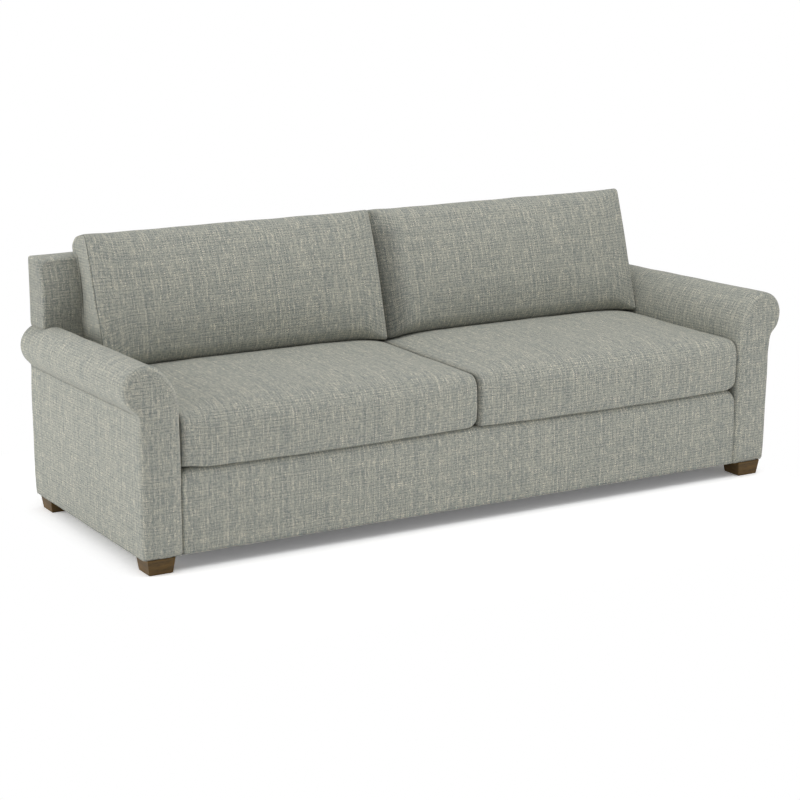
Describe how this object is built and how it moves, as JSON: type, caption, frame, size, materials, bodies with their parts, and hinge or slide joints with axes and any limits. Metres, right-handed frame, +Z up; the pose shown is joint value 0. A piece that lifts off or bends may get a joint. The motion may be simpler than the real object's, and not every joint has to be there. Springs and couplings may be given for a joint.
{
  "type": "sofa",
  "caption": "Fabric sofa with rolled arms, loose box seat cushions and loose back cushions on a padded timber frame with springs and low block legs.",
  "frame": {"origin": "on the floor, under the middle of the sofa's bounding box", "axes": "+X to the right as seen from the front, +Y to the back of the sofa, +Z up"},
  "size_m": [2.4126, 0.873, 0.9115],
  "materials": {
    "tweed": "matte heathered weave",
    "frame_timber": "sawn, unfinished",
    "frame_plywood": "unfinished plywood",
    "leg_wood": "dark brown stain, satin",
    "foam": "polyurethane foam, matte",
    "fibre": "fibre filling, matte",
    "deck_cloth": "plain decking cloth, matte",
    "dust_cloth": "black non-woven cloth, matte",
    "webbing": "woven webbing, matte",
    "spring_steel": "oiled spring wire",
    "zinc_steel": "zinc plated",
    "zip_tape": "woven nylon tape"
  },
  "bodies": {
    "frame": {"arm_back_board_left": "frame_plywood", "arm_back_board_right": "frame_plywood", "arm_base_rail_left": "frame_timber", "arm_base_rail_right": "frame_timber", "arm_cover_left": "tweed", "arm_cover_right": "tweed", "arm_front_board_left": "frame_plywood", "arm_front_board_right": "frame_plywood", "arm_padding_left": "foam", "arm_padding_right": "foam", "arm_roll_rail_left": "frame_timber", "arm_roll_rail_right": "frame_timber", "back_centre_post": "frame_timber", "back_cover": "tweed", "back_lower_rail": "frame_timber", "back_padding": "foam", "back_post_left": "frame_timber", "back_post_right": "frame_timber", "back_rail": "frame_timber", "back_top_rail": "frame_timber", "back_webbing": "webbing", "deck_cloth": "deck_cloth", "deck_padding": "fibre", "dust_cloth": "dust_cloth", "front_rail": "frame_timber", "front_rail_cover": "tweed", "front_rail_padding": "foam", "leg_back_left": "leg_wood", "leg_back_right": "leg_wood", "leg_bolt_back_left": "zinc_steel", "leg_bolt_back_right": "zinc_steel", "leg_bolt_front_left": "zinc_steel", "leg_bolt_front_right": "zinc_steel", "leg_front_left": "leg_wood", "leg_front_right": "leg_wood", "seat_centre_beam": "frame_timber", "seat_end_rail_left": "frame_timber", "seat_end_rail_right": "frame_timber", "seat_springs_left": "spring_steel", "seat_springs_right": "spring_steel"},
    "seat_cushion_left": {"seat_cushion_cover_left": "tweed", "seat_cushion_core_left": "foam", "zip_tape_seat_left": "zip_tape"},
    "zip_slider_seat_left": {"zip_slider_seat_left": "zinc_steel"},
    "back_cushion_left": {"back_cushion_cover_left": "tweed", "back_cushion_core_left": "fibre", "zip_tape_back_left": "zip_tape"},
    "zip_slider_back_left": {"zip_slider_back_left": "zinc_steel"},
    "seat_cushion_right": {"seat_cushion_cover_right": "tweed", "seat_cushion_core_right": "foam", "zip_tape_seat_right": "zip_tape"},
    "zip_slider_seat_right": {"zip_slider_seat_right": "zinc_steel"},
    "back_cushion_right": {"back_cushion_cover_right": "tweed", "back_cushion_core_right": "fibre", "zip_tape_back_right": "zip_tape"},
    "zip_slider_back_right": {"zip_slider_back_right": "zinc_steel"}
  },
  "joints": [
    {"name": "seat_cushion_left_pull_out", "type": "slide", "parent": "frame", "child": "seat_cushion_left", "axis": [0, -1, 0], "range_m": [0, 0.7]},
    {"name": "back_cushion_left_lift_off", "type": "slide", "parent": "frame", "child": "back_cushion_left", "axis": [0, 0, 1], "range_m": [0, 0.45]},
    {"name": "zip_seat_left_open", "type": "slide", "parent": "seat_cushion_left", "child": "zip_slider_seat_left", "axis": [1, 0, 0], "range_m": [0, 0.81]},
    {"name": "zip_back_left_open", "type": "slide", "parent": "back_cushion_left", "child": "zip_slider_back_left", "axis": [1, 0, 0], "range_m": [0, 0.81]},
    {"name": "seat_cushion_right_pull_out", "type": "slide", "parent": "frame", "child": "seat_cushion_right", "axis": [0, -1, 0], "range_m": [0, 0.7]},
    {"name": "back_cushion_right_lift_off", "type": "slide", "parent": "frame", "child": "back_cushion_right", "axis": [0, 0, 1], "range_m": [0, 0.45]},
    {"name": "zip_seat_right_open", "type": "slide", "parent": "seat_cushion_right", "child": "zip_slider_seat_right", "axis": [-1, 0, 0], "range_m": [0, 0.81]},
    {"name": "zip_back_right_open", "type": "slide", "parent": "back_cushion_right", "child": "zip_slider_back_right", "axis": [-1, 0, 0], "range_m": [0, 0.81]}
  ]
}
